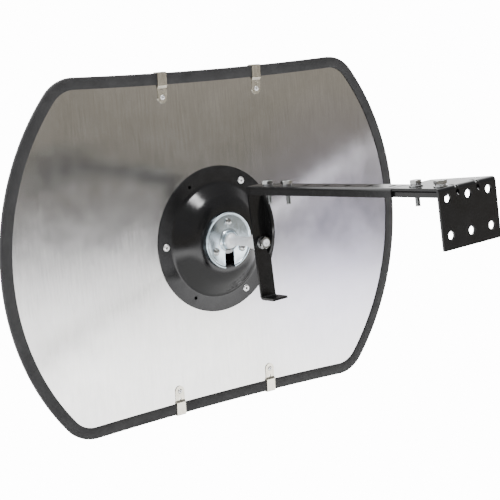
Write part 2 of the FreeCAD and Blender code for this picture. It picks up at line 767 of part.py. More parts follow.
def cap_profile():
    """Half of the cap's section, its collar still filled to the axis, with a rolled rim."""
    lift = in_radius_and_y
    crest = BALL_Y - COLLAR_CREST
    foot = DOME_CREST - FIT_GAP
    edges = rounded_edges(
        [
            (0.0, crest),
            (COLLAR_CREST_RADIUS, crest),
            (COLLAR_FOOT_RADIUS, CAP_FACE),
            (CAP_RADIUS - 2 * CAP_BEAD, CAP_FACE),
        ],
        [0.4, COLLAR_FILLET],
        lift,
    )
    edges.append(Part.Arc(
        lift((CAP_RADIUS - 2 * CAP_BEAD, CAP_FACE)),
        lift((CAP_RADIUS - CAP_BEAD, CAP_FACE - CAP_BEAD)),
        lift((CAP_RADIUS, CAP_FACE)),
    ).toShape())
    inside = [
        (CAP_RADIUS, CAP_FACE),
        (CAP_RADIUS, foot),
        (CAP_RADIUS - CAP_SHEET, foot),
        (CAP_RADIUS - CAP_SHEET, CUP_LEVEL),
        (0.0, CUP_LEVEL),
        (0.0, crest),
    ]
    for start, end in zip(inside, inside[1:]):
        edges.append(Part.LineSegment(lift(start), lift(end)).toShape())
    return Part.Face(Part.Wire(edges))


def socket_cap():
    """The zinc-plated cap: a flat face with a rolled rim, a collar round the ball and a slot."""
    back = Y_AXIS * -1
    centre = Vector(0, BALL_Y, 0)
    cap = revolve_about_y(cap_profile())
    pocket = Part.makeSphere(POCKET_RADIUS, centre)
    pocket = pocket.common(box((-20, BALL_Y, -20), (20, BALL_Y + 20, 20)))
    flare = Part.makeCone(
        FLARE_START_RADIUS, FLARE_END_RADIUS, FLARE_END - FLARE_START, centre + back * FLARE_START, back)
    cap = cap.cut(pocket).cut(Part.makeSphere(BALL_CLEARANCE_RADIUS, centre)).cut(flare)
    top = SLOT_TOP_WIDTH / 2
    bottom = SLOT_BOTTOM_WIDTH / 2
    low = BALL_Y - 15
    end = -CAP_RADIUS - 5
    slot = Part.Face(Part.makePolygon([
        Vector(-top, low, 0), Vector(top, low, 0), Vector(bottom, low, end), Vector(-bottom, low, end),
        Vector(-top, low, 0),
    ])).extrude(Y_AXIS * (DOME_CREST + 1 - low))
    cap = cap.cut(slot)
    for screw in ring_points(CAP_SCREW_CIRCLE, CAP_SCREW_TURNS, CAP_FACE - 1):
        cap = cap.cut(rod(CAP_SCREW_HOLE, screw, Y_AXIS, 6.0))
    return cap


def cap_screws():
    screws = []
    for centre in ring_points(CAP_SCREW_CIRCLE, CAP_SCREW_TURNS, CAP_FACE):
        middle = centre + Y_AXIS * (CAP_SCREW_CROWN - CAP_SCREW_HEAD_HEIGHT)
        head = Part.makeSphere(CAP_SCREW_CROWN, middle)
        head = head.common(rod(CAP_SCREW_HEAD, centre - Y_AXIS * 4, Y_AXIS, 4))
        arm = CAP_SCREW_CROSS
        narrow = CAP_SCREW_CROSS_WIDTH / 2
        recess = box((-narrow, 0, -arm), (narrow, CAP_SCREW_CROSS_DEPTH, arm))
        recess = recess.fuse(box((-arm, 0, -narrow), (arm, CAP_SCREW_CROSS_DEPTH, narrow)))
        recess.translate(centre - Y_AXIS * (CAP_SCREW_HEAD_HEIGHT + 0.01))
        shank = rod(CAP_SCREW_RADIUS, centre, Y_AXIS, CAP_SCREW_END - CAP_FACE)
        screws.append(head.cut(recess).fuse(shank).removeSplitter())
    return Part.makeCompound(screws)


def cap_nuts():
    nuts = []
    for centre in ring_points(CAP_SCREW_CIRCLE, CAP_SCREW_TURNS, DOME_FLOOR + DOME_SHEET):
        nuts.append(nut(CAP_NUT_FLATS, CAP_SCREW_RADIUS + BORE_PLAY, centre, Y_AXIS, CAP_NUT_HEIGHT))
    return Part.makeCompound(nuts)


def ball_seat():
    """A plastic cup round the ball's inner half."""
    centre = Vector(0, BALL_Y, 0)
    seat = Part.makeSphere(SEAT_OUTER, centre).cut(Part.makeSphere(SEAT_INNER, centre))
    seat = seat.common(box((-20, BALL_Y + SEAT_EDGE, -20), (20, BALL_Y + 20, 20)))
    return seat.cut(rod(SEAT_HOLE_RADIUS, centre, Y_AXIS, 20))


def socket_cup():
    """The steel cup that backs the seat."""
    depth = BALL_Y + POCKET_RADIUS + CUP_WALL - CUP_LEVEL
    cup = rod(CUP_RADIUS, Vector(0, CUP_LEVEL, 0), Y_AXIS, depth)
    return cup.cut(Part.makeSphere(POCKET_RADIUS, Vector(0, BALL_Y, 0)))


def disc_spring():
    """The coned spring washer that presses the cup and seat against the ball."""
    top = BALL_Y + POCKET_RADIUS + CUP_WALL
    section = sheet_face(
        [(SPRING_OUTER, DOME_FLOOR - SPRING_SHEET), (SPRING_INNER, top + 0.1)],
        -SPRING_SHEET,
        [],
        in_radius_and_y,
    )
    return revolve_about_y(section)


def place_mirror(shape):
    """Move a piece from the mirror's own frame to where it hangs on the ball."""
    aim = Rotation(Vector(REST_TILT, REST_ROLL, REST_PAN), math.hypot(REST_TILT, REST_ROLL, REST_PAN))
    to_ball = Placement(Vector(0, -BALL_Y, 0), Rotation())
    return shape.transformed((Placement(BALL, aim) * to_ball).toMatrix())


def save_mirror():
    save("mirror_lens", place_mirror(mirror_lens()))
    save("back_panel", place_mirror(back_panel()))
    save("edge_gasket", place_mirror(edge_gasket()))
    for name, x, upright in clip_places():
        save("edge_clip_" + name, place_mirror(edge_clip(x, upright)))
    save("clip_rivets", place_mirror(clip_rivets()))
    save("mounting_dome", place_mirror(mounting_dome()))
    save("dome_rivets", place_mirror(dome_rivets()))
    save("socket_cap", place_mirror(socket_cap()))
    save("cap_screws", place_mirror(cap_screws()))
    save("cap_nuts", place_mirror(cap_nuts()))
    save("ball_seat", place_mirror(ball_seat()))
    save("socket_cup", place_mirror(socket_cup()))
    save("disc_spring", place_mirror(disc_spring()))


os.makedirs("parts", exist_ok=True)
save("wall_bracket", wall_bracket())
save("arm_channel", arm_channel())
save("drop_bar", drop_bar())
save_screws("wall_bracket", arm_hole_centres()[:2], True)
save_screws("drop_bar", arm_hole_centres()[-2:], False)
save_stud()
save_mirror()
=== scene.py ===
"""Looks for the convex security mirror: every visible piece in detail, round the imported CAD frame."""
import json
import math
import bmesh
import bpy
from mathutils import Euler, Matrix, Vector


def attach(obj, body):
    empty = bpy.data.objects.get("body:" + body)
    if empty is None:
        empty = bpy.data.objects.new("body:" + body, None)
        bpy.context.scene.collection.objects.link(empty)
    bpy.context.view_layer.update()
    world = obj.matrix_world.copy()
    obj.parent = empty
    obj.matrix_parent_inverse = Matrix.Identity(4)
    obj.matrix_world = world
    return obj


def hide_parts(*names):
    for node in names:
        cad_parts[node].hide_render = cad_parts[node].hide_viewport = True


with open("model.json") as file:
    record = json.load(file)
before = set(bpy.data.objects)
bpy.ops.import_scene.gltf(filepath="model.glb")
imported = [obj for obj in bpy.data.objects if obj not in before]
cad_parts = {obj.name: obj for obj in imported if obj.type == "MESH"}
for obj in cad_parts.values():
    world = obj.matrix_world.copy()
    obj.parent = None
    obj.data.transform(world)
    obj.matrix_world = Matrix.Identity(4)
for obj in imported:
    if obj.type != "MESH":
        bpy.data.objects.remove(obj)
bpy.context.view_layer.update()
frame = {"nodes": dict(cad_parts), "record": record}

# ---- Dimensions in millimetres, the same as in the CAD ------------------------------------------

MM = 0.001
TAU = 2 * math.pi
TO_WALL = (0, -1, 0)
TO_MIRROR = (0, 1, 0)
UP = (0, 0, 1)

# The ball's centre, where the mirror swivels, and how far it lies behind the mirror's back
BALL = Vector((-28.55, 415.0, -41.9))
BALL_BACK = 22.5
BALL_RADIUS = 11.0
# How the mirror hangs at rest: one turn, its axis and its degrees in one vector
REST_TURN = Vector((3.7, 2.8, 1.3))

# Stud, measured from the ball's centre towards the wall
SHANK_RADIUS = 6.2
SHANK_MIDDLE = 30.0
# The ball's rings stop this far before the shank, which starts with a small fillet
NECK_GAP = 0.3
NECK_FILLET = 0.14
SHOULDER_FLATS = 17.5
SHOULDER_CONE_START = 49.0
SHOULDER_CONE_LENGTH = 4.0
SHOULDER_CONE_RADIUS = 10.0
SHOULDER_START = 53.3
SHOULDER_END = 67.7
SHOULDER_END_RADIUS = 9.5
STUD_THREAD_RADIUS = 4.7
STUD_THREAD_PITCH = 1.4
STUD_THREAD_START = 68.2
STUD_THREAD_END = 80.5
# The dimple in the stud's end as (radius, distance)
STUD_DIMPLE = [(2.6, 80.45), (2.2, 79.8), (0.3, 78.9)]
STUD_BORE = 4.8
STUD_WASHER_START = 71.3
STUD_WASHER_RADIUS = 8.1
STUD_WASHER_SHEET = 1.3
STUD_SPRING_START = 72.6
STUD_SPRING_RADIUS = 7.7
STUD_SPRING_SHEET = 1.8
STUD_NUT_START = 74.4
STUD_NUT_FLATS = 14.0
STUD_NUT_BORE = 4.75
STUD_NUT_HEIGHT = 5.0

# Bracket screws: the sheets that they clamp, and the rows of screws along Y
ARM_X = -28.55
PLATE_TOP = 32.8
ARM_UNDER = 27.3
WALL_BRACKET_ROWS = (12.0, 50.1)
DROP_BAR_ROWS = (278.7, 316.8)
BOLT_RADIUS = 3.1
BOLT_PITCH = 1.27
BOLT_TIP = -25.2
BOLT_THREAD_TOP = -9.0
BOLT_FACE_RADIUS = 5.9
BOLT_HEAD_FLATS = 12.7
BOLT_HEAD_START = 0.15
BOLT_HEAD_HEIGHT = 4.2
# The hollow in a screw's head as (radius, height)
BOLT_HOLLOW = [(4.9, 4.2), (4.5, 4.05)]
BOLT_NUT_FLATS = 11.1
BOLT_NUT_BORE = 3.15
BOLT_NUT_HEIGHT = 5.6
BOLT_BORE = 3.2
BOLT_WASHER_RADIUS = 7.9
BOLT_WASHER_SHEET = 1.3
BOLT_SPRING_RADIUS = 6.2
BOLT_SPRING_SHEET = 1.6
# How far each screw happens to be turned, in degrees
SCREW_TURN = 17
SCREW_TURN_STEP = 31

# Rim and face, in the mirror's own frame
RIM_RADIUS = 324.8
RIM_HALF_HEIGHT = 228.6
RIM_FLAT_SAG = 4.6
RIM_CORNER = 52.0
LEAST_CORNER = 2.0
LENS_FRONT = 5.4
LENS_SHEET = 2.9
LENS_DEPTH = 70.0
LENS_EDGE_INSET = 1.9
LENS_FLAT_INSET = 12.0
LENS_DOME_INSET = 16.2
GASKET_LIP = 15.0

# Mounting dome and cap, in the mirror's own frame
DOME_SHEET = 1.2
DOME_HOLE_CIRCLE = 85.0
DOME_HOLE_RADIUS = 2.4
CAP_SCREW_CIRCLE = 25.0
CAP_SCREW_ANGLES = (90, 210, 330)
CAP_SCREW_HOLE = 2.1
CAP_SCREW_RADIUS = 2.0
CAP_SCREW_PITCH = 0.7
CAP_SCREW_THREAD = (0.2, 23.4)
CAP_TOP = -22.0

# Rivets
CLIP_RIVET_X = 77.0
CLIP_RIVET_Z = 193.5
CLIP_RIVET_SEAT = 0.6
DOME_RIVET_SEAT = 0.4

# ---- Mesh settings -----------------------------------------------------------------------------------

ROUND_STEPS = 96
DOME_STEPS = 160
CAP_STEPS = 128
WASHER_STEPS = 72
SMALL_STEPS = 48
DRILL_STEPS = 32
BEND_STEPS = 8
THREAD_RINGS_PER_TURN = 8
FACE_RINGS = 27
WELD_DISTANCE_M = 2e-6
FLAT_ANGLE = math.radians(1.0)

AIM = Matrix.Rotation(math.radians(REST_TURN.length), 4, REST_TURN.normalized())
MIRROR = Matrix.Translation(BALL) @ AIM @ Matrix.Translation((0, BALL_BACK, 0))
# Turned profiles run along Z; the mirror's pieces are turned about its Y
ABOUT_Y = MIRROR @ Matrix.Rotation(math.radians(-90), 4, "X")
TO_METRES = Matrix.Scale(MM, 4)

# ---- Mesh helpers ---------------------------------------------------------------------------------


def along(point, axis):
    """A frame with its origin at a point and its Z along an axis."""
    axis = Vector(axis).normalized()
    side = Vector((1, 0, 0)) if abs(axis.z) > 0.5 else Vector((0, 0, 1))
    other = axis.cross(side).normalized()
    side = other.cross(axis).normalized()
    spin = Matrix((side, other, axis)).transposed().to_4x4()
    return Matrix.Translation(Vector(point)) @ spin


def along_stud(distance):
    """A frame on the stud's axis, some way from the ball's centre, that faces the wall."""
    return along(BALL - Vector((0, distance, 0)), TO_WALL)


def circle(radius, height, steps=ROUND_STEPS):
    """A ring of points; the radius is a number or a function of the angle."""
    points = []
    for index in range(steps):
        angle = TAU * index / steps
        reach = radius(angle) if callable(radius) else radius
        points.append(Vector((reach * math.cos(angle), reach * math.sin(angle), height)))
    return points


def circles(profile, steps=ROUND_STEPS):
    """Rings from (radius, height) points."""
    return [circle(radius, height, steps) for radius, height in profile]


def hexagon(flats, limit=math.inf):
    """Radius of a hexagon at an angle, its corners turned down to a limit."""
    def reach(angle):
        off_middle = angle % (math.pi / 3) - math.pi / 6
        return min(flats / 2 / math.cos(off_middle), limit)
    return reach


def skin(rings, closed, place, into=None):
    """Quads between rings of equal length, with flat ends unless the rings close on themselves."""
    mesh = into or bmesh.new()
    rows = []
    for ring in rings:
        rows.append([mesh.verts.new(place @ point) for point in ring])
    count = len(rows[0])
    pairs = list(zip(rows, rows[1:]))
    if closed:
        pairs.append((rows[-1], rows[0]))
    for lower, upper in pairs:
        for index in range(count):
            after = (index + 1) % count
            mesh.faces.new((lower[index], lower[after], upper[after], upper[index]))
    if not closed:
        mesh.faces.new(list(reversed(rows[0])))
        mesh.faces.new(rows[-1])
    return mesh


def turned(profile, steps, closed, place, into=None):
    """A turned shape from (radius, height) points."""
    return skin(circles(profile, steps), closed, place, into)


def mesh_object(name, mesh, sharp=32):
    """An object in metres from a mesh in millimetres; edges past so many degrees stay crisp."""
    bmesh.ops.recalc_face_normals(mesh, faces=mesh.faces)
    data = bpy.data.meshes.new(name)
    mesh.transform(TO_METRES)
    mesh.to_mesh(data)
    mesh.free()
    data.shade_smooth()
    data.set_sharp_from_angle(angle=math.radians(sharp))
    made = bpy.data.objects.new(name, data)
    bpy.context.scene.collection.objects.link(made)
    return made


def cut(target, cutter_mesh, sharp=32):
    """Take a shape out of a piece for good."""
    cutter = mesh_object("cutter", cutter_mesh)
    tool = target.modifiers.new("cut", "BOOLEAN")
    tool.object = cutter
    tool.solver = "EXACT"
    bpy.context.view_layer.update()
    graph = bpy.context.evaluated_depsgraph_get()
    carved = bpy.data.meshes.new_from_object(target.evaluated_get(graph))
    target.modifiers.clear()
    target.data = carved
    carved.shade_smooth()
    carved.set_sharp_from_angle(angle=math.radians(sharp))
    bpy.data.objects.remove(cutter)


def soften(piece, width, from_angle):
    """Round the edges that are sharper than an angle in degrees."""
    bevel = piece.modifiers.new("edges", "BEVEL")
    bevel.width = width * MM
    bevel.segments = 2
    bevel.limit_method = "ANGLE"
    bevel.angle_limit = math.radians(from_angle)
    bevel.harden_normals = True


def finish_piece(piece, body, node, material):
    """Give a piece its finish, hang it on the body that it rides on and hide the CAD node that it stands in
    for.
    """
    piece.data.materials.clear()
    piece.data.materials.append(MATERIAL[material])
    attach(piece, body)
    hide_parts(node)


def from_cad(node, edge):
    """A copy of a bent-sheet node as clean faces with rolled edges and flat shading."""
    mesh = bmesh.new()
    mesh.from_mesh(frame["nodes"][node].data)
    bmesh.ops.remove_doubles(mesh, verts=mesh.verts, dist=WELD_DISTANCE_M)
    bmesh.ops.dissolve_limit(mesh, angle_limit=FLAT_ANGLE, verts=mesh.verts, edges=mesh.edges)
    mesh.transform(TO_METRES.inverted())
    piece = mesh_object(node + "_sheet", mesh, sharp=25)
    soften(piece, edge, from_angle=40)
    flat = piece.modifiers.new("flat", "WEIGHTED_NORMAL")
    flat.weight = 100
    flat.keep_sharp = True
    return piece


def rounded(points, radii):
    """An open 2D line with its inner corners rounded."""
    line = [Vector(points[0])]
    for index, radius in enumerate(radii, start=1):
        corner = Vector(points[index])
        back = (Vector(points[index - 1]) - corner).normalized()
        on = (Vector(points[index + 1]) - corner).normalized()
        half = back.angle(on) / 2
        centre = corner + (back + on).normalized() * (radius / math.sin(half))
        reach = radius / math.tan(half)
        start = corner + back * reach - centre
        end = corner + on * reach - centre
        sweep = start.angle_signed(end)
        for step in range(BEND_STEPS + 1):
            spoke = start.copy()
            spoke.rotate(Matrix.Rotation(-sweep * step / BEND_STEPS, 2))
            line.append(centre + spoke)
    line.append(Vector(points[-1]))
    return line


def sheet_profile(points, radii, thickness):
    """A closed section of a sheet: the rounded line and the same line moved to its left."""
    line = rounded(points, radii)
    other = []
    for index, point in enumerate(line):
        before = line[max(index - 1, 0)]
        after = line[min(index + 1, len(line) - 1)]
        way = (after - before).normalized()
        other.append(point + Vector((-way.y, way.x)) * thickness)
    return [tuple(p) for p in line] + [tuple(p) for p in reversed(other)]


def thread(radius, pitch, low, high, steps):
    """Rings of a screw thread between two heights, shallow where it starts and ends."""
    depth = 0.55 * pitch
    end_depth = 0.15
    rings = []
    count = int((high - low) / pitch * THREAD_RINGS_PER_TURN)
    for step in range(count + 1):
        height = low + (high - low) * step / count
        fade = min(1.0, (high - height) / pitch + end_depth, (height - low) / pitch + end_depth)

        def reach(angle, height=height, fade=fade):
            wave = abs(((height / pitch - angle / TAU) % 1.0) * 2 - 1)
            return radius - depth * wave * fade
        rings.append(circle(reach, height, steps))
    return rings


# ---- Materials --------------------------------------------------------------------------------------

# Sockets of a colour Mix node, which has several with the same name
MIX_FACTOR = 0
MIX_FIRST = 6
MIX_SECOND = 7
MIX_RESULT = 2


def set_stops(ramp, stops):
    """Fill a colour ramp from rows of a position and a grey or a colour."""
    while len(ramp.elements) < len(stops):
        ramp.elements.new(0.5)
    for element, (position, value) in zip(ramp.elements, stops):
        element.position = position
        element.color = (*value, 1) if isinstance(value, tuple) else (value, value, value, 1)


class Shader:
    """A material under construction, with a few short ways to add nodes."""

    def __init__(self, name, metal):
        self.material = bpy.data.materials.new(name)
        self.material.use_nodes = True
        self.tree = self.material.node_tree
        self.surface = self.tree.nodes["Principled BSDF"]
        self.surface.inputs["Metallic"].default_value = metal
        self.place = self.tree.nodes.new("ShaderNodeTexCoord").outputs["Object"]

    def node(self, kind, **values):
        made = self.tree.nodes.new(kind)
        for key, value in values.items():
            setattr(made, key, value)
        return made

    def link(self, source, target):
        self.tree.links.new(source, target)

    def set(self, socket, value):
        self.surface.inputs[socket].default_value = value

    def stretched(self, scale, turned_by=(0, 0, 0)):
        mapping = self.node("ShaderNodeMapping")
        mapping.inputs["Scale"].default_value = scale
        mapping.inputs["Rotation"].default_value = turned_by
        self.link(self.place, mapping.inputs["Vector"])
        return mapping.outputs["Vector"]

    def noise(self, scale, detail=4.0, rough=0.55, place=None):
        made = self.node("ShaderNodeTexNoise")
        made.inputs["Scale"].default_value = scale
        made.inputs["Detail"].default_value = detail
        made.inputs["Roughness"].default_value = rough
        self.link(place or self.place, made.inputs["Vector"])
        return made.outputs["Fac"]

    def ramp(self, source, stops):
        made = self.node("ShaderNodeValToRGB")
        set_stops(made.color_ramp, stops)
        self.link(source, made.inputs["Fac"])
        return made.outputs["Color"]

    def mixed(self, factor, first, second, blend="MIX"):
        made = self.node("ShaderNodeMix", data_type="RGBA", blend_type=blend)
        if isinstance(factor, float):
            made.inputs[MIX_FACTOR].default_value = factor
        else:
            self.link(factor, made.inputs[MIX_FACTOR])
        self.link(first, made.inputs[MIX_FIRST])
        if isinstance(second, tuple):
            made.inputs[MIX_SECOND].default_value = (*second, 1)
        else:
            self.link(second, made.inputs[MIX_SECOND])
        return made.outputs[MIX_RESULT]

    def spread(self, source, low, high, from_low=0.3, from_high=0.7):
        """Stretch a source's middle range to run from low to high."""
        made = self.node("ShaderNodeMapRange")
        made.inputs["From Min"].default_value = from_low
        made.inputs["From Max"].default_value = from_high
        made.inputs["To Min"].default_value = low
        made.inputs["To Max"].default_value = high
        self.link(source, made.inputs["Value"])
        return made.outputs["Result"]

    def bumps(self, layers):
        """Stacked bumps from (source, strength, distance in metres)."""
        normal = None
        for source, strength, distance in layers:
            made = self.node("ShaderNodeBump")
            made.inputs["Strength"].default_value = strength
            made.inputs["Distance"].default_value = distance
            self.link(source, made.inputs["Height"])
            if normal:
                self.link(normal, made.inputs["Normal"])
            normal = made.outputs["Normal"]
        self.link(normal, self.surface.inputs["Normal"])

    def base(self, colour):
        self.link(colour, self.surface.inputs["Base Color"])

    def rough(self, value):
        self.link(value, self.surface.inputs["Roughness"])


def tint(colour, factor):
    return tuple(min(1.0, part * factor) for part in colour)


def plated(name, colour, rough, grain, streaks=(1, 1, 1), stain=0.8, metal=1.0):
    """Bright plated or raw metal: cloudy plating, fine grain, faint scratches and handling marks."""
    made = Shader(name, metal)
    cloud = made.noise(scale=60, detail=5)
    colours = made.ramp(cloud, [(0.25, tint(colour, stain)), (0.55, colour), (0.85, tint(colour, 1.12))])
    dirt = made.ramp(made.noise(scale=2600, detail=2), [(0.62, 1.0), (0.78, 0.62)])
    made.base(made.mixed(0.35, colours, dirt, "MULTIPLY"))
    scratch = made.noise(scale=240, detail=6, rough=0.7, place=made.stretched(streaks))
    made.rough(made.spread(scratch, *rough))
    fine = made.noise(scale=grain, detail=3, rough=0.6, place=made.stretched(streaks))
    made.bumps([(fine, 0.16, 0.00008), (made.noise(scale=120, detail=3), 0.10, 0.0003)])
    return made.material


def painted(name, colour, rough):
    """Semi-gloss black paint with orange peel, dust and a few rubbed spots."""
    made = Shader(name, metal=0.0)
    colours = made.ramp(made.noise(scale=26), [(0.3, tint(colour, 0.8)), (0.7, tint(colour, 1.35))])
    dust = made.ramp(made.noise(scale=1900, detail=2), [(0.66, 0.0), (0.76, 1.0)])
    dust_share = made.spread(dust, 0.0, 0.10, from_low=0.0, from_high=1.0)
    colours = made.mixed(dust_share, colours, (0.22, 0.22, 0.21))
    wear = made.noise(scale=420, detail=6, rough=0.75, place=made.stretched((1, 0.12, 1)))
    rub = made.ramp(wear, [(0.70, 0.0), (0.80, 1.0)])
    rub_share = made.spread(rub, 0.0, 0.12, from_low=0.0, from_high=1.0)
    made.base(made.mixed(rub_share, colours, (0.12, 0.12, 0.12)))
    made.rough(made.spread(made.noise(scale=90, detail=5), *rough))
    made.set("Specular IOR Level", 0.36)
    orange_peel = made.noise(scale=700, detail=3)
    made.bumps([(orange_peel, 0.14, 0.00008), (made.noise(scale=2400, detail=2), 0.10, 0.00004)])
    return made.material


def sheet_metal(name):
    """The back panel: rolled sheet with a fine upright grain, spangle and a faint lavender film."""
    made = Shader(name, metal=1.0)
    colours = made.ramp(made.noise(scale=9), [(0.25, (0.56, 0.555, 0.54)), (0.75, (0.66, 0.655, 0.64))])
    grain = made.noise(scale=420, rough=0.6, place=made.stretched((1.0, 1.0, 0.03)))
    streak = made.ramp(grain, [(0.3, 0.86), (0.7, 1.0)])
    flakes = made.node("ShaderNodeTexVoronoi")
    flakes.inputs["Scale"].default_value = 130
    made.link(made.place, flakes.inputs["Vector"])
    spangle = made.ramp(flakes.outputs["Color"], [(0.0, 0.95), (1.0, 1.0)])
    colours = made.mixed(0.8, colours, streak, "MULTIPLY")
    colours = made.mixed(0.7, colours, spangle, "MULTIPLY")
    film = made.node("ShaderNodeTexGradient", gradient_type="SPHERICAL")
    film_place = made.node("ShaderNodeMapping")
    film_place.inputs["Location"].default_value = (-0.85, -0.4, 0.35)
    film_place.inputs["Scale"].default_value = (4.5, 1.0, 4.5)
    made.link(made.place, film_place.inputs["Vector"])
    made.link(film_place.outputs["Vector"], film.inputs["Vector"])
    film_share = made.spread(film.outputs["Fac"], 0.0, 0.9, from_low=0.0, from_high=0.8)
    made.base(made.mixed(film_share, colours, (0.60, 0.58, 0.70)))
    made.rough(made.spread(made.noise(scale=35, detail=5), 0.15, 0.19))
    made.set("Anisotropic", 0.85)
    across = made.node("ShaderNodeTangent", direction_type="RADIAL", axis="Z")
    made.link(across.outputs["Tangent"], made.surface.inputs["Tangent"])
    made.bumps([
        (grain, 0.10, 0.00006),
        (made.noise(scale=5, detail=2), 0.20, 0.0012),
        (made.noise(scale=1500, detail=2), 0.05, 0.00004),
    ])
    return made.material


def rubber(name):
    """The rim's black rubber, a little greyed by bloom."""
    made = Shader(name, metal=0.0)
    colours = made.ramp(made.noise(scale=45), [(0.3, (0.016, 0.016, 0.017)), (0.7, (0.028, 0.028, 0.029))])
    bloom = made.ramp(made.noise(scale=800, rough=0.7), [(0.6, 0.0), (0.8, 1.0)])
    bloom_share = made.spread(bloom, 0.0, 0.25, from_low=0.0, from_high=1.0)
    made.base(made.mixed(bloom_share, colours, (0.08, 0.08, 0.08)))
    made.rough(made.spread(made.noise(scale=160), 0.46, 0.62))
    made.set("Specular IOR Level", 0.3)
    made.bumps([
        (made.noise(scale=1300, detail=3), 0.25, 0.00012),
        (made.noise(scale=60, detail=2), 0.12, 0.0005),
    ])
    return made.material


def silvered(name):
    """The acrylic face: a mirror with very slight waviness, haze and cleaning marks."""
    made = Shader(name, metal=1.0)
    haze = made.noise(scale=14, detail=3)
    made.base(made.ramp(haze, [(0.2, (0.84, 0.86, 0.87)), (0.8, (0.90, 0.92, 0.93))]))
    wipe_place = made.stretched((1, 1, 0.15), turned_by=(0, 0.4, 0))
    wipes = made.noise(scale=60, detail=6, rough=0.7, place=wipe_place)
    made.rough(made.spread(wipes, 0.02, 0.07))
    made.set("Coat Weight", 0.5)
    made.set("Coat Roughness", 0.02)
    made.bumps([(made.noise(scale=7, detail=2), 0.05, 0.002)])
    return made.material


def plastic(name):
    """The ball seat's natural nylon."""
    made = Shader(name, metal=0.0)
    made.base(made.ramp(made.noise(scale=90), [(0.3, (0.74, 0.72, 0.66)), (0.7, (0.82, 0.81, 0.76))]))
    made.rough(made.spread(made.noise(scale=300, detail=3), 0.38, 0.52))
    made.set("Subsurface Weight", 0.08)
    made.bumps([(made.noise(scale=900, detail=2), 0.1, 0.0001)])
    return made.material


MATERIAL = {
    "mirror_face": silvered("mirror_face"),
    "galvanised_panel": sheet_metal("galvanised_panel"),
    "gasket_rubber": rubber("gasket_rubber"),
    "nickel_clip": plated(
        "nickel_clip", (0.58, 0.55, 0.47), rough=(0.18, 0.28), grain=700, streaks=(1, 1, 0.1)),
    "rivet_metal": plated("rivet_metal", (0.82, 0.82, 0.82), rough=(0.28, 0.44), grain=1500),
    "black_paint": painted("black_paint", (0.007, 0.007, 0.0075), rough=(0.14, 0.20)),
    "zinc_cap": plated("zinc_cap", (0.60, 0.69, 0.75), rough=(0.20, 0.28), grain=800),
    # Painted light: the stud's zinc plating is drawn near-white and mostly diffuse, far lighter than the
    # other zinc parts, to stand in for the strong light on the stud
    "bright_zinc": plated(
        "bright_zinc", (0.93, 0.95, 0.98), rough=(0.38, 0.48), grain=1100, stain=0.97, metal=0.2),
    "zinc_steel": plated("zinc_steel", (0.40, 0.41, 0.41), rough=(0.12, 0.20), grain=1100),
    "spring_steel": plated("spring_steel", (0.46, 0.46, 0.47), rough=(0.26, 0.42), grain=1100),
    "nylon": plastic("nylon"),
}
for row in frame["record"]["subparts"]:
    kept = frame["nodes"][row["node"]]
    kept.data.materials.clear()
    kept.data.materials.append(MATERIAL[row["material_slot"]])

# ---- Mirror: outline, gasket and face ---------------------------------------------------------------

SIDE_STEPS = 30
CORNER_STEPS = 16
FLAT_STEPS = 24


def outline(inset):
    """Points (x, z) round the rim: big arcs at the sides, slightly hollow top and bottom."""
    span = math.sqrt(RIM_RADIUS ** 2 - RIM_HALF_HEIGHT ** 2)
    hollow = (span ** 2 + RIM_FLAT_SAG ** 2) / (2 * RIM_FLAT_SAG)
    above = RIM_HALF_HEIGHT - RIM_FLAT_SAG + hollow
    outer = RIM_RADIUS - inset
    scoop = hollow + inset
    corner = max(RIM_CORNER - inset, LEAST_CORNER)
    level = ((outer - corner) ** 2 - (scoop + corner) ** 2 + above ** 2) / (2 * above)
    centre = Vector((math.sqrt((outer - corner) ** 2 - level ** 2), level))
    side_end = math.atan2(centre.y, centre.x)
    top = Vector((0, above))
    quarter = []
    for step in range(SIDE_STEPS):
        angle = side_end * step / SIDE_STEPS
        quarter.append(Vector((outer * math.cos(angle), outer * math.sin(angle))))
    down = top - centre
    last = math.atan2(down.y, down.x)
    for step in range(CORNER_STEPS):
        angle = side_end + (last - side_end) * step / CORNER_STEPS
        quarter.append(centre + corner * Vector((math.cos(angle), math.sin(angle))))
    touch = centre + down.normalized() * corner
    for step in range(FLAT_STEPS + 1):
        x = touch.x * (1 - step / FLAT_STEPS)
        quarter.append(Vector((x, above - math.sqrt(scoop ** 2 - x ** 2))))
    left = [Vector((-p.x, p.y)) for p in reversed(quarter[1:-1])]
    upper = quarter + left
    lower = [Vector((-p.x, -p.y)) for p in upper]
    return upper + [Vector((-quarter[0].x, 0))] + lower[1:]


def rim_ring(inset, y):
    return [Vector((p.x, y, p.y)) for p in outline(inset)]


# Section of the gasket's U channel: how far in from the rim's outline, and Y
GASKET_SECTION = [
    (0.0, 3.6), (0.0, 5.0), (0.25, 6.1), (0.9, 6.85), (2.0, 7.1), (6.0, 7.1), (9.9, 7.1),
    (10.6, 6.95), (11.0, 6.35), (10.7, 5.75), (10.2, 5.5), (1.7, 5.5), (1.7, 1.5), (14.1, 1.5),
    (14.75, 1.25), (15.0, 0.75), (14.75, 0.25), (14.1, 0.0), (8.0, 0.0), (2.0, 0.0), (0.9, 0.25),
    (0.25, 0.9), (0.0, 2.0),
]
gasket = skin([rim_ring(inset, y) for inset, y in GASKET_SECTION], True, MIRROR)
finish_piece(mesh_object("rim_gasket", gasket, sharp=40), "mirror", "edge_gasket", "gasket_rubber")


def face_height(x, z):
    """How far the convex face stands proud: nothing at the round sides and at both flats."""
    side = (RIM_RADIUS - GASKET_LIP) ** 2
    flat = (RIM_HALF_HEIGHT - GASKET_LIP) ** 2
    return LENS_DEPTH * (1 - (x * x + z * z) / side) * (1 - z * z / flat)


